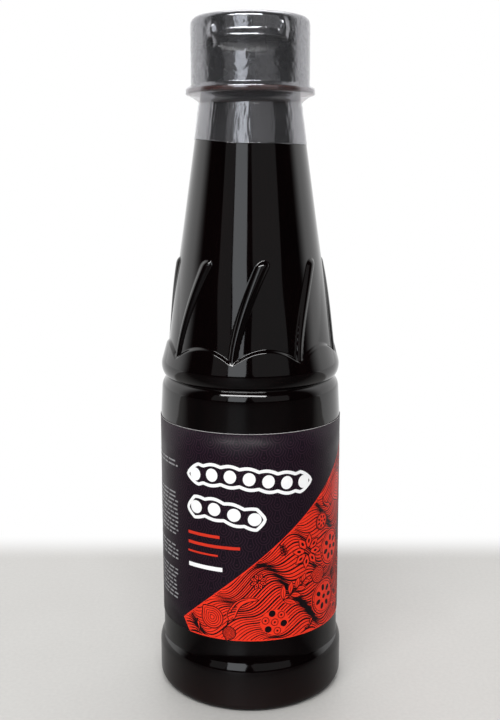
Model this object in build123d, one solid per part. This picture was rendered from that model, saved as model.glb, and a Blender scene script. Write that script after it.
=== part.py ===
"""A shut 200 ml bottle of soy sauce: ribbed dark bottle, flip-top cap, clear shrink film and a wrap-round label.

Millimetres, +Z up. The origin is the middle of the base, on the surface that the bottle stands on, and the
front of the pack faces -Y. Angles round the bottle are degrees from the front, positive towards +X.
"""

import os
from math import cos, radians, sin

from build123d import *

# Bottle, from the table up. Radii are outside radii.
PANEL_R = 23.9  # the straight wall that carries the label
BASE_OUT = 1.1  # how far the base band stands out past that wall
HEEL_R = 2.6  # rounding where the base meets the table
CONTACT_W = 2.0  # width of the ring that the bottle stands on
PUSH_UP = 3.5  # height of the dome under the bottle
BASE_BAND_H = 10.0  # from the table to the top of the base band
BASE_TURN_H = 3.4  # from there to where the band has turned in to the label wall
PANEL_H = 61.6  # the straight label wall
LEAN_H = 7.0  # above it the wall leans in slightly
LEAN_IN = 0.4
WAIST_TURN_H = 2.7  # then it rolls over into a sharp waist
WAIST_IN = 1.3
RING_RISE = 3.3  # from the waist to the fattest place of the shoulder ring
RING_OUT = 1.35  # how far the ring stands out past the waist
RING_CROWN_H = 1.33  # the ring rounds off over this height
SKIRT_H = 5.0  # and runs on as a skirt, whose upper edge is cut into scallops
SKIRT_LEAN = 0.28  # millimetres in for each millimetre up
VALLEY_DROP = 3.4  # depth of the scallops
CONE_BASE_IN = 0.38  # the cone starts this far inside the tips of the scallops
CONE_H = 62.6  # from those tips to the support ring under the cap
NECK_R = 12.69  # the top of the cone
WALL = 0.8

# Twisted ribs on the cone
RIB_COUNT = 8
RIB_TOP_ANGLE = 11.0
RIB_TWIST = 22.7  # from its foot to its head a rib turns by this angle
RIB_BEND = 1.7  # 1 is a straight rib; more leaves the foot steeper
RIB_H = 25.4
RIB_FOOT_W = 1.8
RIB_HEAD_W = 3.0
RIB_PROUD = 0.6
RIB_SECTIONS = 6

# Neck
SUPPORT_OUT = 1.35  # how far the support ring stands out past the cap
SUPPORT_T = 1.25
SUPPORT_EDGE = 0.3
SPIGOT_IN = 0.5  # the neck inside the cap is this much smaller than the cone's top
SPIGOT_H = 7.5

# Cap: a base that is pushed over the neck and a lid that flips up
CAP_WALL = 2.7
CAP_BASE_H = 10.15
CAP_LID_H = 7.1
CAP_RIM_R = 1.6  # rounding round the top of the lid
CAP_FIT = 0.06  # play between the neck and the cap
LIP_ANGLE = 36.5  # half the angle that the thumb lip takes up
LIP_OUT = 0.75
LIP_LIFT = 1.0  # the lip starts this far above the seam
LIP_H = 2.3
SCOOP_DEEP = 1.5  # the hollow under the lip
SCOOP_H = 3.1

# Fill
HEADSPACE = 5.0  # the sauce ends this far under the support ring

# Clear film shrunk over the cap and the neck
FILM_GAP = 0.05
FILM_T = 0.15
FILM_TOP_W = 3.2  # how far it laps over the top of the lid
FILM_TENT_H = 2.4  # height of the slope from the support ring back to the neck
FILM_SKIRT_H = 12.6  # from the support ring down to its lower edge
FILM_FLARE = 0.8

# Label
LABEL_GAP = 0.05
LABEL_T = 0.1
LABEL_BOTTOM = 6.3  # bare wall under the label
LABEL_H = 54.7

# Heights
Z_PANEL = BASE_BAND_H + BASE_TURN_H
Z_LEAN = Z_PANEL + PANEL_H
Z_WAIST = Z_LEAN + LEAN_H + WAIST_TURN_H
Z_RING = Z_WAIST + RING_RISE
Z_SKIRT = Z_RING + RING_CROWN_H
Z_TIPS = Z_SKIRT + SKIRT_H
Z_VALLEY = Z_TIPS - VALLEY_DROP
Z_SUPPORT = Z_TIPS + CONE_H
Z_CAP = Z_SUPPORT + SUPPORT_T
Z_SEAM = Z_CAP + CAP_BASE_H
Z_TOP = Z_SEAM + CAP_LID_H
Z_SPIGOT = Z_CAP + SPIGOT_H

# Radii
BASE_R = PANEL_R + BASE_OUT
LEAN_R = PANEL_R - LEAN_IN
WAIST_R = LEAN_R - WAIST_IN
RING_R = WAIST_R + RING_OUT
CROWN_DROP = RING_CROWN_H * SKIRT_LEAN / 2
SKIRT_R = RING_R - CROWN_DROP
TIP_R = SKIRT_R - SKIRT_H * SKIRT_LEAN
CONE_R = TIP_R - CONE_BASE_IN
CONE_LEAN = (CONE_R - NECK_R) / CONE_H
SPIGOT_R = NECK_R - SPIGOT_IN
CAP_R = SPIGOT_R + CAP_FIT + CAP_WALL
SUPPORT_R = CAP_R + SUPPORT_OUT


def cone_radius(z):
    """The cone's outside radius at a height."""
    return CONE_R - (z - Z_TIPS) * CONE_LEAN


def revolved(outline):
    """The solid that a closed outline of radius against height sweeps round the bottle's axis."""
    return revolve(make_face(outline), Axis.Z)


def outward_plane(angle):
    """A plane through the axis whose normal points outwards at an angle round the bottle."""
    turn = radians(angle)
    return Plane(origin=(0, 0, 0), x_dir=(cos(turn), sin(turn), 0), z_dir=(sin(turn), -cos(turn), 0))


def body_outline():
    """Half the bottle's outside, from the dome under it up to the end of the neck, as one closed outline."""
    contact_in = BASE_R - HEEL_R - CONTACT_W
    with BuildLine(Plane.XZ) as line:
        ThreePointArc((0, PUSH_UP), (contact_in / 2, PUSH_UP * 3 / 4), (contact_in, 0))
        Line((contact_in, 0), (BASE_R - HEEL_R, 0))
        TangentArc((BASE_R - HEEL_R, 0), (BASE_R, HEEL_R), tangent=(1, 0))
        Line((BASE_R, HEEL_R), (BASE_R, BASE_BAND_H))
        TangentArc((BASE_R, BASE_BAND_H), (PANEL_R, Z_PANEL), tangent=(0, 1))
        Line((PANEL_R, Z_PANEL), (PANEL_R, Z_LEAN))
        Line((PANEL_R, Z_LEAN), (LEAN_R, Z_LEAN + LEAN_H))
        TangentArc((LEAN_R, Z_LEAN + LEAN_H), (WAIST_R, Z_WAIST), tangent=(-LEAN_IN, LEAN_H))
        TangentArc((RING_R, Z_RING), (WAIST_R, Z_WAIST), tangent=(0, -1))
        TangentArc((RING_R, Z_RING), (SKIRT_R, Z_SKIRT), tangent=(0, 1))
        Line((SKIRT_R, Z_SKIRT), (TIP_R, Z_TIPS))
        Polyline(
            (TIP_R, Z_TIPS),
            (CONE_R, Z_TIPS),
            (NECK_R, Z_SUPPORT),
            (SPIGOT_R, Z_CAP),
            (SPIGOT_R, Z_SPIGOT),
            (0, Z_SPIGOT),
            (0, PUSH_UP),
        )
    return line.line


def cavity():
    """The space inside the bottle, one wall inside its outside, open at the neck."""
    half = make_face(body_outline())
    whole = half + mirror(half, Plane.YZ)
    inner = offset(whole, amount=-WALL, kind=Kind.INTERSECTION)
    right = Plane.XZ * Pos(PANEL_R * 2, Z_TOP / 2) * Rectangle(PANEL_R * 4, Z_TOP * 2)
    mouth = Pos(0, 0, Z_CAP) * Cylinder(SPIGOT_R - WALL, SPIGOT_H, align=(Align.CENTER, Align.CENTER, Align.MIN))
    return revolve(inner & right, Axis.Z) + mouth


def scallop_gap():
    """What is cut away from the skirt, so that its upper edge is a row of arches with a valley at each rib."""
    reach = RING_OUT * 4
    with BuildLine(Plane.XZ) as line:
        Polyline(
            (cone_radius(Z_VALLEY), Z_VALLEY),
            (RING_R + reach, Z_VALLEY),
            (RING_R + reach, Z_TIPS + reach),
            (CONE_R - reach * CONE_LEAN, Z_TIPS + reach),
            close=True,
        )
    gap = revolved(line.line)
    half_width = SKIRT_R * sin(radians(180 / RIB_COUNT))
    with BuildSketch() as arch:
        with BuildLine():
            ThreePointArc((-half_width, Z_VALLEY), (0, Z_TIPS), (half_width, Z_VALLEY))
            Polyline(
                (half_width, Z_VALLEY),
                (half_width, Z_VALLEY - VALLEY_DROP),
                (-half_width, Z_VALLEY - VALLEY_DROP),
                (-half_width, Z_VALLEY),
            )
        make_face()
    for i in range(RIB_COUNT):
        angle = RIB_TOP_ANGLE + i * 360 / RIB_COUNT
        gap -= extrude(outward_plane(angle) * arch.sketch, amount=RING_R + 2 * reach)
    return gap


def rib(foot_angle):
    """One twisted rib, lofted through ovals that lie across its path and finished with a round head and foot."""
    steps = [i / (RIB_SECTIONS - 1) for i in range(RIB_SECTIONS)]
    points = []
    for t in steps:
        turn = radians(foot_angle + RIB_TWIST * t**RIB_BEND)
        z = Z_VALLEY + RIB_H * t
        points.append(Vector(cone_radius(z) * sin(turn), -cone_radius(z) * cos(turn), z))
    ovals = []
    for i, t in enumerate(steps):
        along = points[min(i + 1, RIB_SECTIONS - 1)] - points[max(i - 1, 0)]
        out = Vector(points[i].X, points[i].Y, 0)
        width = RIB_FOOT_W + (RIB_HEAD_W - RIB_FOOT_W) * t
        across = Plane(origin=points[i], x_dir=along.cross(out), z_dir=along)
        ovals.append(across * Ellipse(width / 2, RIB_PROUD))
    solid = loft(ovals)
    solid += Pos(points[-1]) * Sphere(RIB_PROUD * 1.2)
    return solid + Pos(points[0]) * Sphere(RIB_PROUD)


def support_ring():
    """The flat ring under the cap."""
    ring = Pos(0, 0, Z_SUPPORT) * Cylinder(SUPPORT_R, SUPPORT_T, align=(Align.CENTER, Align.CENTER, Align.MIN))
    rims = ring.edges().filter_by(GeomType.CIRCLE)
    return fillet(rims, SUPPORT_EDGE)


def bottle():
    """The blown bottle, with its ribs, scalloped shoulder ring and neck."""
    body = revolved(body_outline()) - scallop_gap()
    for i in range(RIB_COUNT):
        body += rib(RIB_TOP_ANGLE - RIB_TWIST + i * 360 / RIB_COUNT)
    return body + support_ring() - cavity()


def sauce():
    """The soy sauce, from the floor of the bottle up to its level in the neck."""
    level = Z_SUPPORT - HEADSPACE
    block = Cylinder(BASE_R * 2, level, align=(Align.CENTER, Align.CENTER, Align.MIN))
    return cavity() & block


def thumb_lip(inset=0.0):
    """The lip across the front of the lid, or with an inset the same block made that much larger all round."""
    height = LIP_H + 2 * inset
    inner_r = CAP_R - 2 * LIP_OUT
    ring = Cylinder(CAP_R + LIP_OUT + inset, height) - Cylinder(inner_r, height)
    half_w = CAP_R * sin(radians(LIP_ANGLE)) + inset
    block = ring & Pos(0, -CAP_R, 0) * Box(2 * half_w, 2 * CAP_R, height)
    return Pos(0, 0, Z_SEAM + LIP_LIFT + LIP_H / 2) * block


def cap_base():
    """The lower part of the cap, with the hollow that lets a thumb under the lip."""
    base = Pos(0, 0, Z_CAP) * Cylinder(CAP_R, CAP_BASE_H, align=(Align.CENTER, Align.CENTER, Align.MIN))
    bore_h = SPIGOT_H + CAP_FIT
    base -= Pos(0, 0, Z_CAP) * Cylinder(
        SPIGOT_R + CAP_FIT, bore_h, align=(Align.CENTER, Align.CENTER, Align.MIN)
    )
    scoop = scale(Sphere(1), by=(CAP_R * sin(radians(LIP_ANGLE)), SCOOP_DEEP, SCOOP_H))
    return base - Pos(0, -CAP_R, Z_SEAM) * scoop


def cap_lid():
    """The flip-up lid, with its rounded rim and the thumb lip at the front."""
    lid = Pos(0, 0, Z_SEAM) * Cylinder(CAP_R, CAP_LID_H, align=(Align.CENTER, Align.CENTER, Align.MIN))
    lid = fillet(lid.edges().filter_by(GeomType.CIRCLE).sort_by(Axis.Z)[-1], CAP_RIM_R)
    return lid + thumb_lip()


def film_outline(inset):
    """Points of the film's side from its lap on the lid down to its lower edge, a given distance off the pack."""
    tent_z = Z_SUPPORT - FILM_TENT_H
    edge_z = Z_SUPPORT - FILM_SKIRT_H
    return [
        (CAP_R - FILM_TOP_W, Z_TOP + inset),
        (CAP_R - CAP_RIM_R, Z_TOP + inset),
        (CAP_R + inset, Z_TOP - CAP_RIM_R),
        (CAP_R + inset, Z_CAP + FILM_FLARE + inset),
        (SUPPORT_R + inset, Z_CAP + inset),
        (SUPPORT_R + inset, Z_SUPPORT - inset),
        (cone_radius(tent_z) + inset, tent_z - inset),
        (cone_radius(edge_z) + inset, edge_z),
    ]


def shrink_film():
    """The clear film, drawn over the cap, its lip and the support ring and in again to the neck."""
    inner = film_outline(FILM_GAP)
    outer = film_outline(FILM_GAP + FILM_T)
    with BuildLine(Plane.XZ) as line:
        for points in (inner, outer):
            Line(points[0], points[1])
            TangentArc(points[1], points[2], tangent=(1, 0))
            Polyline(*points[2:])
        Line(inner[0], outer[0])
        Line(inner[-1], outer[-1])
    inside = Pos(0, 0, Z_SEAM) * Cylinder(CAP_R + FILM_GAP, 2 * CAP_LID_H - 2 * CAP_RIM_R)
    pocket = thumb_lip(FILM_GAP + FILM_T) - thumb_lip(FILM_GAP) - inside
    return revolved(line.line) - thumb_lip(FILM_GAP) + pocket


def label():
    """The paper label, wrapped round the straight wall."""
    inner_r = PANEL_R + LABEL_GAP
    tube = Cylinder(inner_r + LABEL_T, LABEL_H) - Cylinder(inner_r, LABEL_H)
    return Pos(0, 0, Z_PANEL + LABEL_BOTTOM + LABEL_H / 2) * tube


os.makedirs("parts", exist_ok=True)
PIECES = {
    "bottle": bottle,
    "sauce": sauce,
    "cap_base": cap_base,
    "cap_lid": cap_lid,
    "shrink_film": shrink_film,
    "label": label,
}
for name, make in PIECES.items():
    export_step(make(), f"parts/{name}.step")
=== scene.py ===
"""Looks of a shut bottle of soy sauce: dark ribbed bottle, flip-top cap under clear film, printed label.

Metres, +Z up, front towards -Y. Angles round the bottle are radians from the front, positive towards +X.
"""

import random
from math import atan2, cos, hypot, pi, radians, sin, tan, tau

import bpy
import numpy as np
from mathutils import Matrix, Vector, noise


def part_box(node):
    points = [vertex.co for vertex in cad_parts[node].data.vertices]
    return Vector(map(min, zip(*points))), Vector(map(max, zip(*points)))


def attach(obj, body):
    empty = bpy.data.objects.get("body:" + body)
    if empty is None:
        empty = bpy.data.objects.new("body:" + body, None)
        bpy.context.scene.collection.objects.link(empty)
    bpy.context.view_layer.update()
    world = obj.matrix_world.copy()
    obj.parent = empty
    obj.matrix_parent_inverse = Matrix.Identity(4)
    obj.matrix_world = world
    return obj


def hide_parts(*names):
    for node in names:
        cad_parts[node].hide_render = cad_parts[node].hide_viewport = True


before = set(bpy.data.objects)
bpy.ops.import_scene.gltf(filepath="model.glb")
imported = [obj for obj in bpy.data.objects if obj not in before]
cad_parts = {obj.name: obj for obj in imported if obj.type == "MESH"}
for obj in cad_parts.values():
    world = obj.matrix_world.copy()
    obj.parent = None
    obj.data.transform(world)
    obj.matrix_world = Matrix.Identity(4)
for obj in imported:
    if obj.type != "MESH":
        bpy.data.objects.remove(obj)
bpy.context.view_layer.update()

MM = 0.001
BODY = "root"

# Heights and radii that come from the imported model.
LABEL_LOW, LABEL_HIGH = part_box("label")
LABEL_R = LABEL_HIGH[0]
LABEL_Z0, LABEL_Z1 = LABEL_LOW[2], LABEL_HIGH[2]
BASE_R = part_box("bottle")[1][0]
FILM_LOW, FILM_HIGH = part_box("shrink_film")
CAP_LOW, CAP_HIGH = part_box("cap_base")
LID_LOW, LID_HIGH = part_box("cap_lid")
CAP_R = CAP_HIGH[0]
SUPPORT_R = FILM_HIGH[0] - 0.2 * MM
Z_CAP = CAP_LOW[2]
Z_SEAM = LID_LOW[2]
Z_TOP = LID_HIGH[2]

# The bottle's outline, as in the solid model.
PANEL_R = LABEL_R - 0.15 * MM
HEEL_R = 2.6 * MM
CONTACT_W = 2.0 * MM
PUSH_UP = 3.5 * MM
BASE_BAND_H = 10.0 * MM
Z_PANEL = BASE_BAND_H + 3.4 * MM
Z_LEAN = Z_PANEL + 61.6 * MM
LEAN_R = PANEL_R - 0.4 * MM
Z_LEAN_TOP = Z_LEAN + 7.0 * MM
WAIST_R = LEAN_R - 1.3 * MM
Z_WAIST = Z_LEAN_TOP + 2.7 * MM
RING_R = WAIST_R + 1.35 * MM
Z_RING = Z_WAIST + 3.3 * MM
SKIRT_LEAN = 0.28
SKIRT_R = RING_R - 0.19 * MM
Z_SKIRT = Z_RING + 1.33 * MM
Z_TIPS = Z_SKIRT + 5.0 * MM
VALLEY_DROP = 3.4 * MM
CONE_R = SKIRT_R - 5.0 * MM * SKIRT_LEAN - 0.38 * MM
SUPPORT_T = 1.25 * MM
Z_SUPPORT = Z_CAP - SUPPORT_T
NECK_R = 12.69 * MM
CONE_LEAN = (CONE_R - NECK_R) / (Z_SUPPORT - Z_TIPS)

# Twisted ribs
RIB_COUNT = 8
RIB_HEAD_ANGLE = radians(11.0)
RIB_TWIST = radians(22.7)
RIB_BEND = 1.7
RIB_H = 25.4 * MM
RIB_FOOT_W = 1.9 * MM
RIB_HEAD_W = 3.0 * MM
RIB_PROUD = 0.75 * MM
HOLLOW = 0.22 * MM  # the cone's wall falls in this much between two ribs, at their feet

COLUMNS = 448  # of every turned surface


# --- meshes ---------------------------------------------------------------------------------------------


def mesh_object(name, points, faces, material):
    """A mesh that rides on the pack and takes its finish from a slot."""
    data = bpy.data.meshes.new(name)
    data.from_pydata([tuple(p) for p in points], [], faces)
    data.polygons.foreach_set("use_smooth", [True] * len(data.polygons))
    data.update()
    piece = bpy.data.objects.new(name, data)
    bpy.context.scene.collection.objects.link(piece)
    data.materials.append(material)
    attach(piece, BODY)
    return piece


def lathe(name, rows, material, closed=False):
    """A surface of revolution, which a flat face may close at both ends.

    Each row gives a radius and a height, as numbers or as arrays with a value for each column.
    """
    turn = np.arange(COLUMNS) * tau / COLUMNS
    points = []
    for radius, height in rows:
        r = np.broadcast_to(radius, turn.shape)
        z = np.broadcast_to(height, turn.shape)
        points.append(np.stack([r * np.sin(turn), -r * np.cos(turn), z], 1))
    faces = []
    for i in range(len(rows) - 1):
        a = i * COLUMNS
        b = a + COLUMNS
        for j in range(COLUMNS):
            k = (j + 1) % COLUMNS
            faces.append((a + j, a + k, b + k, b + j))
    if closed:
        last = (len(rows) - 1) * COLUMNS
        faces.append(tuple(range(COLUMNS))[::-1])
        faces.append(tuple(last + j for j in range(COLUMNS)))
    return mesh_object(name, np.concatenate(points), faces, material)


def angles():
    """The angle of each column from the front, between -pi and pi."""
    turn = np.arange(COLUMNS) * tau / COLUMNS
    return (turn + pi) % tau - pi


def arc(start, end, tangent, count):
    """Points on the circular arc that leaves start along the tangent and comes to end, without start."""
    start, end, tangent = np.array(start), np.array(end), np.array(tangent, float)
    tangent /= np.linalg.norm(tangent)
    chord = end - start
    normal = np.array([-tangent[1], tangent[0]])
    radius = chord @ chord / (2 * (normal @ chord))
    centre = start + normal * radius
    total = 2 * atan2(chord @ normal, chord @ tangent)
    out = []
    for i in range(1, count + 1):
        a = total * i / count
        arm = start - centre
        out.append(centre + np.array([arm[0] * cos(a) - arm[1] * sin(a), arm[0] * sin(a) + arm[1] * cos(a)]))
    return out


def straight(start, end, count):
    """Points on the line from start to end, without start."""
    start, end = np.array(start), np.array(end)
    return [start + (end - start) * i / count for i in range(1, count + 1)]


def levels(low, high, count):
    """Even steps from low to high, without low."""
    return [low + (high - low) * i / count for i in range(1, count + 1)]


def smoothstep(low, high, x):
    """0 up to low, 1 from high on, and a smooth rise between them."""
    t = np.clip((x - low) / (high - low), 0, 1)
    return t * t * (3 - 2 * t)


# --- materials ------------------------------------------------------------------------------------------


class Nodes:
    """Short calls for building a material's node tree."""

    def __init__(self, name):
        self.material = bpy.data.materials.new(name)
        self.material.use_nodes = True
        self.tree = self.material.node_tree
        self.shader = self.tree.nodes["Principled BSDF"]
        self.output = self.tree.nodes["Material Output"]

    def add(self, kind, links=None, **settings):
        """A new node, with its settings made and its inputs fed."""
        node = self.tree.nodes.new(kind)
        for key, value in settings.items():
            setattr(node, key, value)
        for key, value in (links or {}).items():
            self.feed(node.inputs[key], value)
        return node

    def feed(self, socket, value):
        """Link another socket to this one, or give it a value."""
        if isinstance(value, bpy.types.NodeSocket):
            self.tree.links.new(value, socket)
        else:
            socket.default_value = value

    def set(self, **values):
        """Feed the shader's own inputs, in whose names an underscore stands for a space."""
        for key, value in values.items():
            self.feed(self.shader.inputs[key.replace("_", " ")], value)

    def place(self):
        """Where a point of the surface lies, in metres."""
        return self.add("ShaderNodeTexCoord").outputs["Object"]

    def noise(self, scale, detail=4.0, stretch=(1, 1, 1)):
        """Soft noise; a small stretch along an axis draws it out that way."""
        mapped = self.add("ShaderNodeMapping", {"Vector": self.place(), "Scale": stretch})
        wave = self.add("ShaderNodeTexNoise", {"Vector": mapped.outputs[0], "Scale": scale, "Detail": detail})
        return wave.outputs["Fac"]

    def span(self, value, low, high, to_low=0.0, to_high=1.0):
        """A value brought from one range to another, and held inside it."""
        links = {"Value": value, "From Min": low, "From Max": high, "To Min": to_low, "To Max": to_high}
        return self.add("ShaderNodeMapRange", links).outputs["Result"]

    def blend(self, share, a, b):
        """A colour between a, at share 0, and b, at share 1."""
        node = self.add("ShaderNodeMix", data_type="RGBA")
        self.feed(node.inputs[0], share)
        self.feed(node.inputs[6], a)
        self.feed(node.inputs[7], b)
        return node.outputs[2]

    def math(self, operation, a, b=0.0):
        """The result of one sum on two values."""
        node = self.add("ShaderNodeMath", operation=operation)
        self.feed(node.inputs[0], a)
        self.feed(node.inputs[1], b)
        return node.outputs[0]

    def bump(self, height, distance, strength=1.0):
        """The normal of a surface with fine relief."""
        links = {"Height": height, "Distance": distance, "Strength": strength}
        return self.add("ShaderNodeBump", links).outputs["Normal"]


def bottle_material():
    """Very dark red-brown blown plastic, glossy, with faint flow streaks and a redder base, which is a
    painted glow of light coming through the plastic near the table.
    """
    n = Nodes("bottle_plastic")
    height = n.add("ShaderNodeSeparateXYZ", {0: n.place()}).outputs["Z"]
    # Painted glow: the colour turns redder over the lowest 12 mm, standing in for light that comes through
    # the plastic near the table.
    base = n.span(height, 0.0, 12 * MM, 1.0, 0.0)
    tint_and_painted_glow = n.blend(base, (0.0010, 0.0004, 0.0005, 1), (0.0070, 0.0020, 0.0018, 1))
    streak = n.span(n.noise(220, 5, (1, 1, 0.12)), 0.35, 0.75)
    n.set(
        Base_Color=n.blend(n.math("MULTIPLY", streak, 0.3), tint_and_painted_glow, (0.0040, 0.0014, 0.0014, 1)),
        Roughness=n.span(n.noise(90), 0.3, 0.7, 0.045, 0.085),
        IOR=1.5,
        Normal=n.bump(n.noise(70, 2, (1, 1, 0.4)), 0.05 * MM, 0.5),
    )
    return n.material


def ring_material():
    """The thick support ring, where light comes through the plastic in red-brown."""
    n = Nodes("ring_plastic")
    n.set(
        Base_Color=n.blend(n.span(n.noise(120), 0.3, 0.7), (0.20, 0.028, 0.012, 1), (0.30, 0.05, 0.02, 1)),
        Roughness=n.span(n.noise(200), 0.3, 0.7, 0.05, 0.10),
        IOR=1.5,
        Transmission_Weight=0.85,
    )
    return n.material


def cap_material():
    """Black moulded cap with a faint satin grain and small scuffs."""
    n = Nodes("cap_plastic")
    scuffs = n.span(n.noise(900, 6), 0.60, 0.72)
    n.set(
        Base_Color=n.blend(scuffs, (0.006, 0.006, 0.007, 1), (0.020, 0.020, 0.022, 1)),
        Roughness=n.span(n.noise(300), 0.3, 0.7, 0.22, 0.32),
        IOR=1.5,
        Normal=n.bump(n.noise(2500, 2), 0.01 * MM, 0.4),
    )
    return n.material


def sauce_material():
    """Near-black red-brown liquid."""
    n = Nodes("sauce")
    n.set(
        Base_Color=n.blend(n.noise(60), (0.006, 0.0015, 0.001, 1), (0.010, 0.003, 0.002, 1)),
        Roughness=n.span(n.noise(40), 0.0, 1.0, 0.03, 0.06),
        IOR=1.36,
    )
    return n.material


FILM_VEIL = 0.19  # how much of what lies under the film its grey haze hides


def film_material():
    """Clear film with a grey haze, more of it where it is seen edge-on, and fine crinkles."""
    n = Nodes("film")
    haze = n.span(n.noise(160, 5, (1, 1, 0.35)), 0.3, 0.7, FILM_VEIL * 0.8, FILM_VEIL * 1.15)
    facing = n.add("ShaderNodeLayerWeight", {"Blend": 0.35}).outputs["Facing"]
    edge = n.math("MULTIPLY", n.math("POWER", facing, 2.5), 0.30)
    cover = n.math("MINIMUM", n.math("ADD", haze, edge), 0.95)
    n.set(
        Base_Color=n.blend(n.noise(50), (0.55, 0.55, 0.59, 1), (0.68, 0.68, 0.71, 1)),
        Metallic=0.90,
        Roughness=n.span(n.noise(120), 0.3, 0.7, 0.11, 0.22),
        IOR=1.55,
        Normal=n.bump(n.noise(420, 5, (1, 1, 0.3)), 0.10 * MM, 0.55),
    )
    clear = n.add("ShaderNodeBsdfTransparent")
    mixed = n.add("ShaderNodeMixShader")
    n.feed(mixed.inputs[0], cover)
    n.feed(mixed.inputs[1], clear.outputs[0])
    n.feed(mixed.inputs[2], n.shader.outputs[0])
    n.feed(n.output.inputs["Surface"], mixed.outputs[0])
    return n.material


FAN_W = 7.0 * MM  # width of one fan of the wave pattern
FAN_RINGS = 5


def label_material():
    """Dark violet-black paper with the traditional pattern of overlapping fans, printed a little lighter."""
    n = Nodes("label_paper")
    place = n.add("ShaderNodeSeparateXYZ", {0: n.place()})
    turn = n.math("ARCTAN2", place.outputs["X"], n.math("MULTIPLY", place.outputs["Y"], -1.0))
    columns = round(tau * LABEL_R / FAN_W)
    across = n.math("MULTIPLY", turn, columns / tau)
    up = n.math("DIVIDE", place.outputs["Z"], FAN_W / 4)
    shade = None
    # A point belongs to the lowest of the fans that reach it, so the rows are painted from the top down.
    row = n.math("FLOOR", up)
    for below in (2, 1, 0, -1):
        level = n.math("SUBTRACT", row, float(below))
        parity = n.math("MULTIPLY", n.math("MODULO", n.math("ADD", level, 1000.0), 2.0), 0.5)
        cell = n.math("SUBTRACT", across, parity)
        dx = n.math("MULTIPLY", n.math("SUBTRACT", cell, n.math("ROUND", cell)), 2.0)
        dz = n.math("MULTIPLY", n.math("SUBTRACT", up, level), 0.5)
        square = n.math("ADD", n.math("MULTIPLY", dx, dx), n.math("MULTIPLY", dz, dz))
        reach = n.math("SQRT", square)
        line = n.math("SINE", n.math("MULTIPLY", reach, tau * FAN_RINGS))
        inside = n.math("LESS_THAN", reach, 1.0)
        line = n.span(line, 0.1, 0.8)
        if shade is None:
            shade = line
        else:
            keep = n.math("SUBTRACT", 1.0, inside)
            shade = n.math("ADD", n.math("MULTIPLY", shade, keep), n.math("MULTIPLY", line, inside))
    fibre = n.span(n.noise(1500, 6), 0.3, 0.7)
    dark = n.blend(fibre, (0.0050, 0.0028, 0.0060, 1), (0.0085, 0.0050, 0.0100, 1))
    n.set(
        Base_Color=n.blend(n.math("MULTIPLY", shade, 0.75), dark, (0.030, 0.012, 0.022, 1)),
        Roughness=n.span(n.noise(250), 0.3, 0.7, 0.34, 0.43),
        Specular_IOR_Level=0.14,
        Normal=n.bump(n.noise(900, 6), 0.02 * MM, 0.35),
    )
    return n.material


def ink_material(name, light, dark, roughness):
    """A printed ink whose depth varies a little, as print on paper does."""
    n = Nodes(name)
    n.set(
        Base_Color=n.blend(n.span(n.noise(400, 6), 0.3, 0.7), light, dark),
        Roughness=n.span(n.noise(250), 0.3, 0.7, roughness, roughness + 0.1),
        Specular_IOR_Level=0.16,
        Normal=n.bump(n.noise(900, 6), 0.02 * MM, 0.3),
    )
    return n.material


# --- bottle ---------------------------------------------------------------------------------------------


def cone_radius(z):
    """The cone's radius at a height, without its ribs."""
    return CONE_R - (z - Z_TIPS) * CONE_LEAN


def rib_relief(turn, z):
    """How far the surface of the cone stands out at an angle and height: eight ribs, with hollows between."""
    t = np.clip((z - (Z_TIPS - VALLEY_DROP)) / RIB_H, 0, 1)
    crest = RIB_HEAD_ANGLE + RIB_TWIST * (t**RIB_BEND - 1)
    pitch = tau / RIB_COUNT
    off = (turn - crest + pitch / 2) % pitch - pitch / 2
    radius = cone_radius(z)
    slope = RIB_TWIST * RIB_BEND * np.maximum(t, 0.02) ** (RIB_BEND - 1) / RIB_H * radius
    across = off * radius / np.sqrt(1 + slope**2)
    width = RIB_FOOT_W + (RIB_HEAD_W - RIB_FOOT_W) * t
    past = np.maximum(z - (Z_TIPS - VALLEY_DROP) - RIB_H + RIB_HEAD_W / 2, 0)
    reach = np.sqrt(across**2 + past**2) / (width / 2)
    crown = np.maximum(1 - reach**2, 0) ** 0.75
    hollow = HOLLOW * 0.5 * (1 - np.cos(tau * off / pitch)) * (1 - t) ** 1.2
    return RIB_PROUD * (0.8 + 0.2 * t) * crown - hollow


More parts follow.
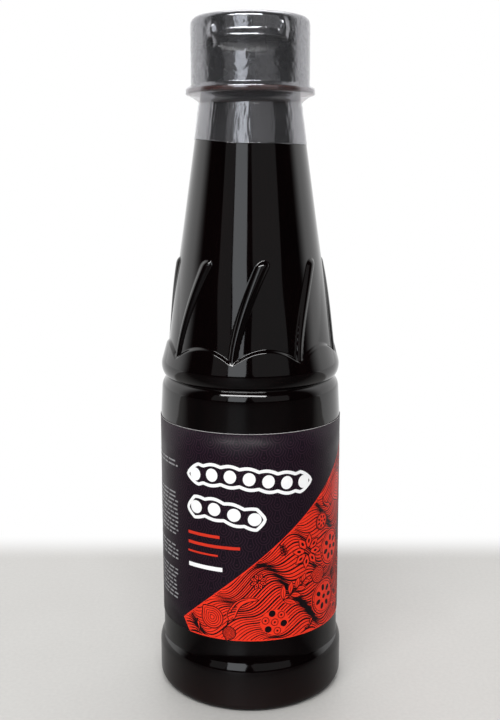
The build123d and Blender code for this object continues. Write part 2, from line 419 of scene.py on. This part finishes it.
def bottle_rows():
    """The rows of the bottle's surface, from the middle of its underside up to the support ring."""
    turn = angles()
    contact_in = BASE_R - HEEL_R - CONTACT_W
    core = 0.2 * MM
    outline = [np.array([core, PUSH_UP])]
    outline += arc(outline[-1], (contact_in, 0.0), (1, 0), 14)
    outline += straight(outline[-1], (BASE_R - HEEL_R, 0.0), 2)
    outline += arc(outline[-1], (BASE_R, HEEL_R), (1, 0), 10)
    outline += straight(outline[-1], (BASE_R, BASE_BAND_H), 4)
    outline += arc(outline[-1], (PANEL_R, Z_PANEL), (0, 1), 8)
    outline += straight(outline[-1], (PANEL_R, Z_LEAN), 6)
    outline += straight(outline[-1], (LEAN_R, Z_LEAN_TOP), 4)
    outline += arc(outline[-1], (WAIST_R, Z_WAIST), (LEAN_R - PANEL_R, Z_LEAN_TOP - Z_LEAN), 10)
    outline += arc((RING_R, Z_RING), (WAIST_R, Z_WAIST), (0, -1), 10)[-2::-1]
    outline.append(np.array([RING_R, Z_RING]))
    outline += arc(outline[-1], (SKIRT_R, Z_SKIRT), (0, 1), 5)
    rows = list(outline)
    pitch = tau / RIB_COUNT
    off = ((turn - RIB_HEAD_ANGLE + pitch / 2) % pitch - pitch / 2) / (pitch / 2)
    edge = Z_TIPS - VALLEY_DROP * off**2
    lip = 0.35 * MM
    foot = 0.75 * MM
    for i in range(1, 9):
        z = Z_SKIRT + (edge - lip - Z_SKIRT) * i / 8
        rows.append((SKIRT_R - (z - Z_SKIRT) * SKIRT_LEAN, z))
    for i in range(1, 13):
        z = edge - lip + (lip + foot) * i / 12
        share = smoothstep(0.0, 1.0, i / 12) ** 1.3
        skirt = SKIRT_R - (z - Z_SKIRT) * SKIRT_LEAN
        cone = cone_radius(z) + rib_relief(turn, z)
        rows.append((np.maximum(skirt * (1 - share) + cone * share, cone), z))
    ribs_end = Z_TIPS - VALLEY_DROP + RIB_H + 2.2 * MM
    steps = 84
    for i in range(1, steps + 1):
        z = edge + foot + (ribs_end - edge - foot) * i / steps
        rows.append((cone_radius(z) + rib_relief(turn, z), z))
    for z in levels(ribs_end, Z_SUPPORT, 10):
        rows.append((cone_radius(z), z))
    return rows


def make_bottle():
    """The bottle's body and its support ring, which stand for the bottle's solid."""
    body = lathe("bottle_body", bottle_rows(), bottle_material(), closed=True)
    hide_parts("bottle")
    edge = 0.3 * MM
    inner = NECK_R - 0.6 * MM
    outline = [np.array([inner, Z_SUPPORT])]
    outline += straight(outline[-1], (SUPPORT_R - edge, Z_SUPPORT), 3)
    outline += arc(outline[-1], (SUPPORT_R, Z_SUPPORT + edge), (1, 0), 5)
    outline += straight(outline[-1], (SUPPORT_R, Z_CAP - edge), 1)
    outline += arc(outline[-1], (SUPPORT_R - edge, Z_CAP), (0, 1), 5)
    outline += straight(outline[-1], (inner, Z_CAP), 3)
    ring = lathe("support_ring", outline, ring_material(), closed=True)
    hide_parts("bottle")


# --- cap ------------------------------------------------------------------------------------------------

CAP_RIM = 1.6 * MM
LIP_ANGLE = radians(36.5)
LIP_OUT = 0.95 * MM
LIP_LOW = Z_SEAM + 1.0 * MM
LIP_TOP = LIP_LOW + 2.4 * MM
SCOOP_DEEP = 1.3 * MM
SCOOP_LOW = Z_SEAM - 3.1 * MM


def front_relief(turn, z):
    """The thumb lip and the hollow under it, as how far the side of the cap stands out."""
    side = np.clip(1 - (turn / LIP_ANGLE) ** 2, 0, 1)
    lip = LIP_OUT * side**0.45 * (1 - smoothstep(LIP_LOW, LIP_TOP, z)) * (z >= LIP_LOW)
    floor = LIP_LOW - (LIP_LOW - SCOOP_LOW) * np.sqrt(side)
    depth = np.clip((z - floor) / (LIP_LOW - SCOOP_LOW), 0, 1) * (z < LIP_LOW)
    return lip - SCOOP_DEEP * side**0.6 * np.sqrt(depth)


def make_cap():
    """The cap's base and lid, with a fine seam between them."""
    turn = angles()
    material = cap_material()
    bevel = 0.14 * MM
    core = 0.3 * MM
    base = [(core, Z_CAP), (CAP_R - bevel, Z_CAP), (CAP_R, Z_CAP + bevel)]
    for z in levels(Z_CAP + bevel, Z_SEAM - bevel, 50):
        base.append((CAP_R + front_relief(turn, z), z))
    base.append((CAP_R - bevel + front_relief(turn, Z_SEAM), Z_SEAM))
    base.append((core, Z_SEAM))
    piece = lathe("cap_lower", base, material, closed=True)
    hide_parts("cap_base")

    lid = [(core, Z_SEAM), (CAP_R - bevel + front_relief(turn, Z_SEAM), Z_SEAM)]
    for z in levels(Z_SEAM + bevel / 2, LIP_LOW - 0.02 * MM, 8) + levels(LIP_LOW, LIP_TOP, 16):
        lid.append((CAP_R + front_relief(turn, z), z))
    lid += straight((CAP_R, LIP_TOP), (CAP_R, Z_TOP - CAP_RIM), 4)
    lid += arc((CAP_R, Z_TOP - CAP_RIM), (CAP_R - CAP_RIM, Z_TOP), (0, 1), 12)
    lid += straight((CAP_R - CAP_RIM, Z_TOP), (core, Z_TOP), 4)
    piece = lathe("cap_upper", lid, material, closed=True)
    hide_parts("cap_lid")


# --- film -----------------------------------------------------------------------------------------------

FILM_OFF = 0.12 * MM  # how far the film lies off what it covers
TENT_H = 2.4 * MM
FILM_EDGE = FILM_LOW[2]


def wave(turn, z, scale, seed):
    """Smooth noise round the pack, with no seam at the back."""
    places = [Vector((sin(a) * scale, cos(a) * scale, h + seed)) for a, h in zip(turn, z)]
    return np.array([noise.noise(place) for place in places])


def film_rows():
    """The rows of the film, from its lap on the lid down to its lower edge on the neck."""
    turn = angles()
    ones = np.ones(COLUMNS)
    off = FILM_OFF
    lap = (CAP_R - 3.0 * MM) * ones + 0.25 * MM * wave(turn, ones * 0, 3.0, 1.7)
    rows = [(lap, Z_TOP + off + 0.1 * MM)]
    rows += straight((CAP_R - 2.8 * MM, Z_TOP + off), (CAP_R - CAP_RIM, Z_TOP + off), 3)
    rows += arc((CAP_R + off, Z_TOP - CAP_RIM), (CAP_R - CAP_RIM, Z_TOP + off), (0, 1), 8)[-2::-1]
    flare_top = Z_CAP + 0.9 * MM
    for z in levels(Z_TOP - CAP_RIM, flare_top, 58):
        level = ones * z
        under = np.maximum(front_relief(turn, z), 0) + bridge(turn, z)
        broad = 0.07 * MM * wave(turn, level / MM * 0.5, 7.0, 3.1)
        fine = 0.04 * MM * wave(turn, level / MM, 19.0, 9.2)
        rows.append((CAP_R + off + under + pinches(turn, z) + np.abs(broad + fine), z))
    rows += [(SUPPORT_R + 0.05 * MM, Z_CAP + 0.15 * MM), (SUPPORT_R + 0.14 * MM, Z_CAP - 0.25 * MM)]
    rows += [(SUPPORT_R + 0.14 * MM, Z_SUPPORT + 0.2 * MM), (SUPPORT_R + 0.02 * MM, Z_SUPPORT - 0.08 * MM)]
    tent = Z_SUPPORT - TENT_H + 0.35 * MM * wave(turn, ones * 0, 2.5, 5.5)
    for share in levels(0, 1, 8):
        z = Z_SUPPORT * (1 - share) + tent * share
        sag = 1 - (1 - share) ** 1.6
        rows.append(((SUPPORT_R - 0.1 * MM) * (1 - sag) + (cone_radius(z) + off) * sag, z))
    low = FILM_EDGE + 0.05 * MM + 1.3 * MM * smoothstep(0.15, 1.0, np.sin(-turn))
    low = low + 0.12 * MM * (1 + wave(turn, ones * 0, 6.0, 2.2))
    for share in levels(0, 1, 30):
        z = tent * (1 - share) + low * share
        broad = 0.10 * MM * wave(turn, z / MM * 0.22, 11.0, 7.7)
        fine = 0.05 * MM * wave(turn, z / MM * 0.5, 27.0, 4.4)
        rows.append((cone_radius(z) + off + np.abs(broad + fine) * (1 - 0.6 * share), z))
    return rows


def bridge(turn, z):
    """Where the film spans the hollow under the thumb lip, it slopes from the lip to the cap below."""
    side = np.clip(1 - (turn / LIP_ANGLE) ** 2, 0, 1)
    below = np.clip((z - (LIP_LOW - 3.6 * MM)) / (3.6 * MM), 0, 1) * (z < LIP_LOW)
    return LIP_OUT * 0.75 * side**0.5 * below**1.6


def pinches(turn, z):
    """Two pinched ears of film at the ends of the thumb lip, each with a dent under it."""
    ears = ((-LIP_ANGLE * 1.02, LIP_TOP - 0.6 * MM, 1.0), (LIP_ANGLE * 0.86, LIP_TOP, 1.25))
    total = 0
    for centre, height, size in ears:
        across = (turn - centre) * CAP_R / (0.9 * MM * size)
        up = (z - height) / (1.5 * MM * size)
        total = total + 0.75 * MM * size * np.exp(-(across**2) - up**2)
        total = total - 0.25 * MM * np.exp(-((across * 0.8) ** 2) - (up + 1.7) ** 2)
    return total


def make_film():
    """The shrink film, as a thin sheet with two sides."""
    film = lathe("shrink_wrap", film_rows(), film_material())
    thick = film.modifiers.new("thickness", "SOLIDIFY")
    thick.thickness = 0.04 * MM
    thick.offset = 0
    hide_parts("shrink_film")


# --- label ----------------------------------------------------------------------------------------------

LAYER = 0.015 * MM  # each printed layer lies this much outside the one below


class Ink:
    """Flat shapes in millimetres on the unrolled label: x to the right of the front, y up from the table."""

    def __init__(self):
        self.points = []
        self.faces = []

    def strip(self, left, right):
        """A band of quads between two lines of points."""
        start = len(self.points)
        for a, b in zip(left, right):
            self.points += [a, b]
        for i in range(len(left) - 1):
            k = start + 2 * i
            self.faces.append((k, k + 1, k + 3, k + 2))

    def stroke(self, points, width, taper=False, closed=False):
        """A pen line along points."""
        pts = np.array(points, float)
        if closed:
            pts = np.vstack([pts, pts[:1]])
            ahead = np.roll(pts[:-1], -1, 0)
            back = np.roll(pts[:-1], 1, 0)
            along = np.vstack([ahead - back, (ahead - back)[:1]])
        else:
            along = np.gradient(pts, axis=0)
        along /= np.maximum(np.linalg.norm(along, axis=1, keepdims=True), 1e-9)
        side = np.stack([along[:, 1], -along[:, 0]], 1)
        half = np.full(len(pts), width / 2)
        if taper:
            half *= np.sqrt(np.clip(np.sin(np.linspace(0.06, 0.97, len(pts)) * pi), 0.05, 1))
        self.strip(pts - side * half[:, None], pts + side * half[:, None])

    def fill(self, outline, centre=None):
        """A filled shape that can be seen whole from its centre, in rings so that it bends with the label."""
        pts = np.array(outline, float)
        mid = pts.mean(0) if centre is None else np.array(centre, float)
        start = len(self.points)
        rings = (1.0, 0.66, 0.33)
        for ring in rings:
            self.points += [mid + (p - mid) * ring for p in pts]
        self.points.append(mid)
        count = len(pts)
        for i in range(len(rings) - 1):
            for j in range(count):
                k = (j + 1) % count
                a = start + i * count
                self.faces.append((a + j, a + k, a + count + k, a + count + j))
        last = start + (len(rings) - 1) * count
        for j in range(count):
            self.faces.append((last + j, last + (j + 1) % count, len(self.points) - 1))

    def wrapped(self, name, layer, material):
        """The shapes as one mesh, wrapped round the label at a layer."""
        pts = np.array(self.points)
        radius = LABEL_R + layer * LAYER
        turn = pts[:, 0] * MM / LABEL_R
        place = np.stack([radius * np.sin(turn), -radius * np.cos(turn), pts[:, 1] * MM], 1)
        faces = []
        for face in self.faces:
            loop = [pts[i] for i in face]
            area = sum(a[0] * b[1] - b[0] * a[1] for a, b in zip(loop, loop[1:] + loop[:1]))
            faces.append(face if area > 0 else face[::-1])
        return mesh_object(name, place, faces, material)


def oval(centre, width, height, tilt=0.0, count=28):
    """Points round an ellipse."""
    turn = np.linspace(0, tau, count, endpoint=False)
    x = width / 2 * np.cos(turn)
    y = height / 2 * np.sin(turn)
    return placed(np.stack([x, y], 1), centre, 1.0, tilt)


def placed(points, at, size, tilt):
    """Points of a motif drawn at unit size, brought to its place."""
    p = np.array(points, float) * size
    x = at[0] + p[:, 0] * cos(tilt) - p[:, 1] * sin(tilt)
    y = at[1] + p[:, 0] * sin(tilt) + p[:, 1] * cos(tilt)
    return np.stack([x, y], 1)


# The field of colour: its upper edge rises to the right as a shallow curve.
FIELD_LEFT = -19.5
FIELD_RIGHT = 62.0
FIELD_FOOT = -17.2
LOW = LABEL_Z0 / MM
HIGH = LABEL_Z1 / MM


def field_top(x):
    """The height of the colour field's upper edge."""
    return min(23.1 + 0.875 * (x - FIELD_LEFT) - 0.0009 * (x - FIELD_LEFT) ** 2, HIGH)


def field_bottom(x):
    """The field's lower edge, which is cut off at a slant at the left."""
    return max(LOW, 23.1 - (x - FIELD_LEFT) * (23.1 - LOW) / (FIELD_FOOT - FIELD_LEFT))


def in_field(x, y, margin):
    """Whether a point lies in the field, and further than the margin from its edges."""
    if not FIELD_LEFT + margin < x < FIELD_RIGHT - margin:
        return False
    return field_bottom(x) + margin < y < field_top(x) - margin


def leaf_spray(paper, pen, at, size, tilt):
    """A stem with pairs of pointed leaves."""
    stem = placed([(0.03 * sin(4 * t), t - 0.5) for t in np.linspace(0, 1, 10)], at, size, tilt)
    leaves = []
    for i in range(4):
        for side in (-1, 1):
            base = np.array([0.0, -0.38 + 0.23 * i])
            lean = side * (0.95 - 0.12 * i)
            reach = 0.42 - 0.05 * i
            t = np.linspace(0, 1, 9)
            spine = np.stack([np.sin(lean) * reach * t, np.cos(lean) * reach * t], 1) + base
            wide = 0.075 * np.sin(pi * t) ** 0.8
            across = np.array([cos(lean), -sin(lean)])
            half = across * wide[:, None]
            leaves.append((np.vstack([spine + half, (spine - half)[-2:0:-1]]), spine))
    for outline, spine in leaves:
        paper.fill(placed(outline, at, size * 1.06, tilt))
        pen.stroke(placed(outline, at, size, tilt), 0.2, closed=True)
        pen.stroke(placed(spine[:7], at, size, tilt), 0.13, taper=True)
    pen.stroke(stem, 0.24, taper=True)


def round_slice(paper, pen, at, size, tilt):
    """A cut root: a round slice with a ring of holes."""
    paper.fill(oval(at, size * 1.08, size * 1.08))
    pen.stroke(oval(at, size, size, 0, 36), 0.3, closed=True)
    pen.stroke(oval(at, size * 0.86, size * 0.86, 0, 36), 0.13, closed=True)
    holes = 7
    for i in range(holes):
        a = tilt + tau * i / holes
        centre = (at[0] + 0.27 * size * cos(a), at[1] + 0.27 * size * sin(a))
        pen.fill(oval(centre, size * 0.19, size * 0.13, a, 16))
    pen.fill(oval(at, size * 0.13, size * 0.13, 0, 14))


def star_pod(paper, pen, at, size, tilt):
    """A star of eight boat-shaped pods, each with a seed."""
    for i in range(8):
        a = tilt + tau * i / 8
        t = np.linspace(0, 1, 9)
        wide = 0.11 * np.sin(pi * t**0.8)
        top = np.stack([0.1 + 0.4 * t, wide], 1)
        outline = np.vstack([top, (top * (1, -1))[-2:0:-1]])
        paper.fill(placed(outline, at, size * 1.05, a))
        pen.stroke(placed(outline, at, size, a), 0.22, closed=True)
        seed = placed([(0.29, 0)], at, size, a)[0]
        pen.fill(oval(seed, size * 0.13, size * 0.07, a, 14))


def onion_rings(paper, pen, at, size, tilt):
    """A cut bulb: nested rings, drawn to a point at one end."""

    def bulb(scale):
        t = np.linspace(0, tau, 40, endpoint=False)
        radius = 0.5 * scale * (1 + 0.28 * np.exp(-((t - pi / 2) / 0.28) ** 2))
        return np.stack([radius * np.cos(t), radius * np.sin(t)], 1)

    paper.fill(placed(bulb(1.08), at, size, tilt))
    for k, scale in enumerate((1.0, 0.80, 0.60, 0.40, 0.2)):
        pen.stroke(placed(bulb(scale), at, size, tilt), 0.28 if k == 0 else 0.17, closed=True)


def curved_pod(paper, pen, at, size, tilt):
    """A long curved pod with a cap and a stalk."""
    t = np.linspace(0, 1, 18)
    spine = np.stack([t - 0.5, 0.28 * np.sin(pi * t * 0.9) - 0.12], 1)
    along = np.gradient(spine, axis=0)
    along /= np.linalg.norm(along, axis=1, keepdims=True)
    side = np.stack([-along[:, 1], along[:, 0]], 1)
    wide = (0.13 * np.sqrt(np.clip(1 - t, 0, 1)) * np.clip(t * 8, 0, 1) ** 0.5)[:, None]
    top, low = spine + side * wide, spine - side * wide
    paper.strip(placed(top * 1.06, at, size, tilt), placed(low * 1.06, at, size, tilt))
    pen.stroke(placed(np.vstack([top, low[-2:0:-1]]), at, size, tilt), 0.24, closed=True)
    pen.stroke(placed((spine + side * wide * 0.35)[3:14], at, size, tilt), 0.3, taper=True)
    stalk = np.stack([-0.5 - 0.14 * t[:8] / t[7], -0.12 - 0.1 * (t[:8] / t[7]) ** 2], 1)
    pen.stroke(placed(stalk, at, size, tilt), 0.34)


def seed_cluster(paper, pen, at, size, tilt):
    """A handful of round seeds, some solid and some open."""
    paper.fill(oval(at, size * 1.0, size * 0.9))
    for i in range(7):
        a = tilt + tau * i / 6
        far = 0 if i == 6 else 0.33 * size
        centre = (at[0] + far * cos(a), at[1] + far * sin(a))
        if i % 2:
            pen.fill(oval(centre, size * 0.24, size * 0.24, 0, 14))
        else:
            pen.stroke(oval(centre, size * 0.24, size * 0.24, 0, 18), 0.18, closed=True)
            pen.fill(oval(centre, size * 0.08, size * 0.08, 0, 8))


MOTIFS = (leaf_spray, round_slice, curved_pod, star_pod, onion_rings, leaf_spray, seed_cluster, curved_pod)


def flow_lines(pen):
    """Long wavy lines that fill the field between the motifs, like drawn water."""
    spacing = 0.72
    count = int(110 / spacing)
    for k in range(count):
        run = []
        width = 0.3 + 0.22 * (k % 3 == 0)
        x = FIELD_LEFT
        while x < FIELD_RIGHT:
            level = LOW - 30 + k * spacing
            y = level + 2.6 * sin(x / 5.2 + 0.5 * sin(level / 4)) + 1.3 * sin(x / 2.1 + level / 2.7) + 0.2 * x
            if in_field(x, y, 0.25):
                run.append((x, y))
            else:
                if len(run) > 3:
                    pen.stroke(run, width, taper=True)
                run = []
            x += 0.35
        if len(run) > 3:
            pen.stroke(run, width, taper=True)


def motif_places(rng):
    """Where the motifs go: tries at random that keep clear of each other and of the field's edges."""
    places = []
    for size in (9.5, 7.6, 6.0, 4.6, 3.4):
        for _ in range(500):
            x = rng.uniform(FIELD_LEFT, FIELD_RIGHT)
            y = rng.uniform(LOW, HIGH)
            reach = [(x + dx * size / 2, y + dy * size / 2) for dx in (-1, 0, 1) for dy in (-1, 0, 1)]
            if not all(in_field(a, b, 0.2) for a, b in reach):
                continue
            if all(hypot(x - a, y - b) > 0.52 * (size + s) for a, b, s in places):
                places.append((x, y, size))
    return places


def make_field():
    """The field of colour and the drawings on it."""
    base, flow, paper, pen = Ink(), Ink(), Ink(), Ink()
    xs = list(np.linspace(FIELD_LEFT, FIELD_FOOT, 5))
    xs += list(np.linspace(FIELD_FOOT, FIELD_RIGHT, 160))[1:]
    base.strip([(x, field_bottom(x)) for x in xs], [(x, field_top(x)) for x in xs])
    rng = random.Random(41)
    flow_lines(flow)
    for i, (x, y, size) in enumerate(motif_places(rng)):
        draw = MOTIFS[i % len(MOTIFS)]
        draw(paper, pen, (x, y), size, rng.uniform(0, tau))
    orange = ink_material("orange_ink", (0.80, 0.032, 0.010, 1), (0.70, 0.025, 0.008, 1), 0.36)
    black = ink_material("black_ink", (0.010, 0.004, 0.006, 1), (0.006, 0.003, 0.004, 1), 0.36)
    base.wrapped("label_field", 1, orange)
    flow.wrapped("label_waves", 2, black)
    paper.wrapped("label_motif_grounds", 3, orange)
    pen.wrapped("label_drawings", 4, black)


def bean_pod(pen, x0, x1, y0, y1, beans, tilt):
    """An outlined pod with round beans in it, as wide and tall as the place it is given."""
    mid = np.array([(x0 + x1) / 2, (y0 + y1) / 2])
    length = x1 - x0
    half = (y1 - y0) / 2
    t = np.linspace(0, 1, 90)
    bumps = 0.80 + 0.20 * np.abs(np.sin(pi * beans * t))
    wide = half * 0.72 * bumps * np.clip(np.sin(pi * t) * 3.2, 0, 1) ** 0.6
    sway = half * 0.30 * np.sin(pi * t * 1.4 + 0.4)
    x = (t - 0.5) * length
    top = np.stack([x, sway + wide], 1)
    low = np.stack([x, sway - wide], 1)
    outline = placed(np.vstack([top, low[-2:0:-1]]), mid, 1.0, tilt)
    pen.stroke(outline, 0.85, closed=True)
    for i in range(beans):
        share = (i + 0.5) / beans
        y = half * 0.30 * sin(pi * share * 1.4 + 0.4)
        centre = placed([((share - 0.5) * length, y)], mid, 1.0, tilt)[0]
        pen.fill(oval(centre, length / beans * 0.66, half * 0.90, tilt, 30))


# Blocks of fine grey bars beside the main field: the height of the top one, how many, and their right end.
BAR_BLOCKS = ((64.5, 2, -21.3), (56.0, 11, -21.4), (41.5, 4, -21.6), (35.0, 8, -21.8))
BAR_LEFT = -52.0
BAR_PITCH = 1.12
BAR_H = 0.42
BAR_GAP = 0.55


def plain_bar(pen, x0, x1, y, height):
    """A plain bar from x0 to x1, centred on y."""
    xs = np.linspace(x0, x1, 14)
    pen.strip([(x, y - height / 2) for x in xs], [(x, y + height / 2) for x in xs])


def make_marks():
    """Plain marks in the places of words: two bean pods, a few bars, and blocks of fine grey bars."""
    white, orange, grey = Ink(), Ink(), Ink()
    bean_pod(white, -17.2, 16.6, 58.4, 66.0, 7, 0.0)
    bean_pod(white, -17.2, 3.7, 49.6, 57.2, 4, 0.0)
    plain_bar(orange, -17.3, -7.9, 47.2, 0.8)
    plain_bar(orange, -17.3, -2.6, 44.6, 0.8)
    plain_bar(orange, -17.4, -8.4, 42.2, 0.5)
    plain_bar(white, -17.2, -7.2, 38.6, 1.1)
    rng = random.Random(5)
    for top, lines, right in BAR_BLOCKS:
        for k in range(lines):
            y = top - k * BAR_PITCH
            x = BAR_LEFT
            while x < right - 0.8:
                wide = min(rng.uniform(1.0, 3.6), right - x)
                xs = np.linspace(x, x + wide, max(2, int(wide / 0.6)))
                grey.strip([(v, y) for v in xs], [(v, y + BAR_H) for v in xs])
                x += wide + BAR_GAP
    white_ink = ink_material("white_ink", (0.86, 0.86, 0.86, 1), (0.80, 0.80, 0.81, 1), 0.4)
    red_ink = ink_material("red_ink", (0.62, 0.03, 0.012, 1), (0.55, 0.026, 0.01, 1), 0.4)
    grey_ink = ink_material("grey_ink", (0.30, 0.30, 0.31, 1), (0.22, 0.22, 0.23, 1), 0.4)
    white.wrapped("label_pods", 2, white_ink)
    orange.wrapped("label_small_marks", 2, red_ink)
    grey.wrapped("label_text_bars", 2, grey_ink)


def make_label():
    """The label's paper, which is a thin tube, and the pale cut edge at its top."""
    inner = LABEL_R - 0.1 * MM
    rows = [(inner, LABEL_Z0), (LABEL_R, LABEL_Z0)]
    rows += straight((LABEL_R, LABEL_Z0), (LABEL_R, LABEL_Z1), 8)
    rows += [(inner, LABEL_Z1), (inner, LABEL_Z0)]
    paper = lathe("label_sheet", rows, label_material())
    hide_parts("label")
    outer = LABEL_R + LAYER
    edge = [(inner, LABEL_Z1 - 0.02 * MM), (outer, LABEL_Z1 - 0.16 * MM), (outer, LABEL_Z1 - 0.01 * MM)]
    cut = ink_material("cut_edge", (0.55, 0.54, 0.54, 1), (0.45, 0.44, 0.45, 1), 0.5)
    lathe("label_edge", edge, cut)


# --- stage ----------------------------------------------------------------------------------------------


def make_camera():
    """A camera a little above the bottle's middle, close by, and tilted down."""
    data = bpy.data.cameras.new("camera")
    data.sensor_width = 36.0
    data.lens = 49.15
    data.clip_start = 0.01
    camera = bpy.data.objects.new("camera", data)
    camera.location = (-0.09 * MM, -257.94 * MM, 136.96 * MM)
    camera.rotation_euler = (radians(79.346), 0, 0)
    bpy.context.scene.collection.objects.link(camera)
    bpy.context.scene.camera = camera


FLOOR_REACH = 3.0
FADE = (78 * MM, 104 * MM)  # how far behind the bottle's axis the table turns into the white background
MIRRORED_FRONT = (-60 * MM, 30 * MM)  # over this stretch the painted shade on the mirrored table goes from dim to half bright


def make_floor():
    """A pale table that fades to the white background behind the bottle."""
    data = bpy.data.meshes.new("floor")
    corners = [(x * FLOOR_REACH, y * FLOOR_REACH, 0) for x, y in ((-1, -1), (1, -1), (1, 1), (-1, 1))]
    data.from_pydata(corners, [], [(0, 1, 2, 3)])
    floor = bpy.data.objects.new("floor", data)
    bpy.context.scene.collection.objects.link(floor)
    n = Nodes("floor")
    grain = n.span(n.noise(900, 6), 0.3, 0.7)
    colour = n.blend(grain, (0.455, 0.446, 0.432, 1), (0.487, 0.478, 0.460, 1))
    behind = n.add("ShaderNodeSeparateXYZ", {0: n.place()}).outputs["Y"]
    ray = n.add("ShaderNodeLightPath").outputs
    direct = n.math("MAXIMUM", ray["Is Camera Ray"], ray["Is Glossy Ray"])
    seen = n.math("MAXIMUM", direct, ray["Is Transmission Ray"])
    # Painted shade: in the bottle's reflections only, the table in front is dimmed, so that the bottle
    # mirrors a dark near side.
    front = n.span(behind, *MIRRORED_FRONT, 0.04, 0.55)
    dim = n.blend(front, (0, 0, 0, 1), colour)
    n.set(
        Base_Color=n.blend(ray["Is Glossy Ray"], colour, dim),
        Roughness=n.span(n.noise(40), 0.3, 0.7, 0.45, 0.55),
    )
    fade = n.add("ShaderNodeMapRange", {"Value": behind, "From Min": FADE[0], "From Max": FADE[1]})
    fade.interpolation_type = "SMOOTHSTEP"
    white = n.add("ShaderNodeEmission", {"Color": (1, 1, 1, 1), "Strength": 1.0})
    mixed = n.add("ShaderNodeMixShader", {0: n.math("MULTIPLY", fade.outputs["Result"], seen)})
    n.feed(mixed.inputs[1], n.shader.outputs[0])
    n.feed(mixed.inputs[2], white.outputs[0])
    n.feed(n.output.inputs["Surface"], mixed.outputs[0])
    data.materials.append(n.material)


DIFFUSE_WORLD = 0.60
MIRRORED_WORLD = (0.008, 1.25)  # the world's strength in reflections, in front of the bottle and behind it


def make_world():
    """White for the camera, even for lighting, and in reflections dim in front and bright behind."""
    world = bpy.data.worlds.new("world")
    bpy.context.scene.world = world
    world.use_nodes = True
    tree = world.node_tree
    nodes, links = tree.nodes, tree.links
    background = nodes["Background"]
    background.inputs["Color"].default_value = (1, 1, 1, 1)
    place = nodes.new("ShaderNodeTexCoord")
    split = nodes.new("ShaderNodeSeparateXYZ")
    links.new(place.outputs["Generated"], split.inputs[0])
    behind = nodes.new("ShaderNodeMapRange")
    behind.interpolation_type = "SMOOTHSTEP"
    behind.inputs["From Min"].default_value = -0.12
    behind.inputs["From Max"].default_value = 0.30
    behind.inputs["To Min"].default_value = MIRRORED_WORLD[0]
    behind.inputs["To Max"].default_value = MIRRORED_WORLD[1]
    links.new(split.outputs["Y"], behind.inputs["Value"])
    ray = nodes.new("ShaderNodeLightPath")
    either = nodes.new("ShaderNodeMath")
    either.operation = "MAXIMUM"
    links.new(ray.outputs["Is Camera Ray"], either.inputs[0])
    links.new(ray.outputs["Is Transmission Ray"], either.inputs[1])
    plain = nodes.new("ShaderNodeMix")
    plain.inputs[2].default_value = DIFFUSE_WORLD
    links.new(ray.outputs["Is Glossy Ray"], plain.inputs[0])
    links.new(behind.outputs["Result"], plain.inputs[3])
    strength = nodes.new("ShaderNodeMix")
    links.new(either.outputs[0], strength.inputs[0])
    links.new(plain.outputs[0], strength.inputs[2])
    strength.inputs[3].default_value = 1.0
    links.new(strength.outputs[0], background.inputs["Strength"])


LAMP_AWAY = 1.2  # the lamps' distance from the point they face
LAMP_AIM = Vector((0, 0, 0.1))


def area_light(name, azimuths, elevations, brightness, colour=(1, 1, 1)):
    """A rectangular lamp that fills a span of azimuth and elevation as the bottle sees it, in degrees.

    Azimuth 0 is in front, positive towards +X. Brightness 1 looks as bright as the white background.
    """
    wide = 2 * LAMP_AWAY * tan(radians(azimuths[1] - azimuths[0]) / 2)
    high = 2 * LAMP_AWAY * tan(radians(elevations[1] - elevations[0]) / 2)
    data = bpy.data.lights.new(name, "AREA")
    data.shape = "RECTANGLE"
    data.size = wide
    data.size_y = high
    data.energy = brightness * pi * wide * high
    data.color = colour
    lamp = bpy.data.objects.new(name, data)
    a = radians(sum(azimuths) / 2)
    e = radians(sum(elevations) / 2)
    out = Vector((sin(a) * cos(e), -cos(a) * cos(e), sin(e)))
    lamp.location = LAMP_AIM + out * LAMP_AWAY
    lamp.rotation_euler = out.to_track_quat("Z", "Y").to_euler()
    bpy.context.scene.collection.objects.link(lamp)


def make_lights():
    """Soft daylight: a window strip with dimmer walls beside it, bright sky above, a soft light behind."""
    area_light("window", (-28, -6), (3, 38), 2.2, (0.92, 0.96, 1.0))
    area_light("wall_left", (-50, -30), (3, 38), 0.22)
    area_light("wall_right", (4, 50), (3, 38), 0.24)
    area_light("sky", (-36, 14), (42, 51), 18.0)
    area_light("behind", (150, 190), (50, 80), 2.5)


def main():
    """Build every visible piece, then the stage."""
    make_camera()
    make_bottle()
    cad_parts["sauce"].data.materials.clear()
    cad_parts["sauce"].data.materials.append(sauce_material())
    make_cap()
    make_film()
    make_label()
    make_field()
    make_marks()
    make_floor()
    make_world()
    make_lights()
    bpy.context.scene.view_settings.view_transform = "Standard"


main()
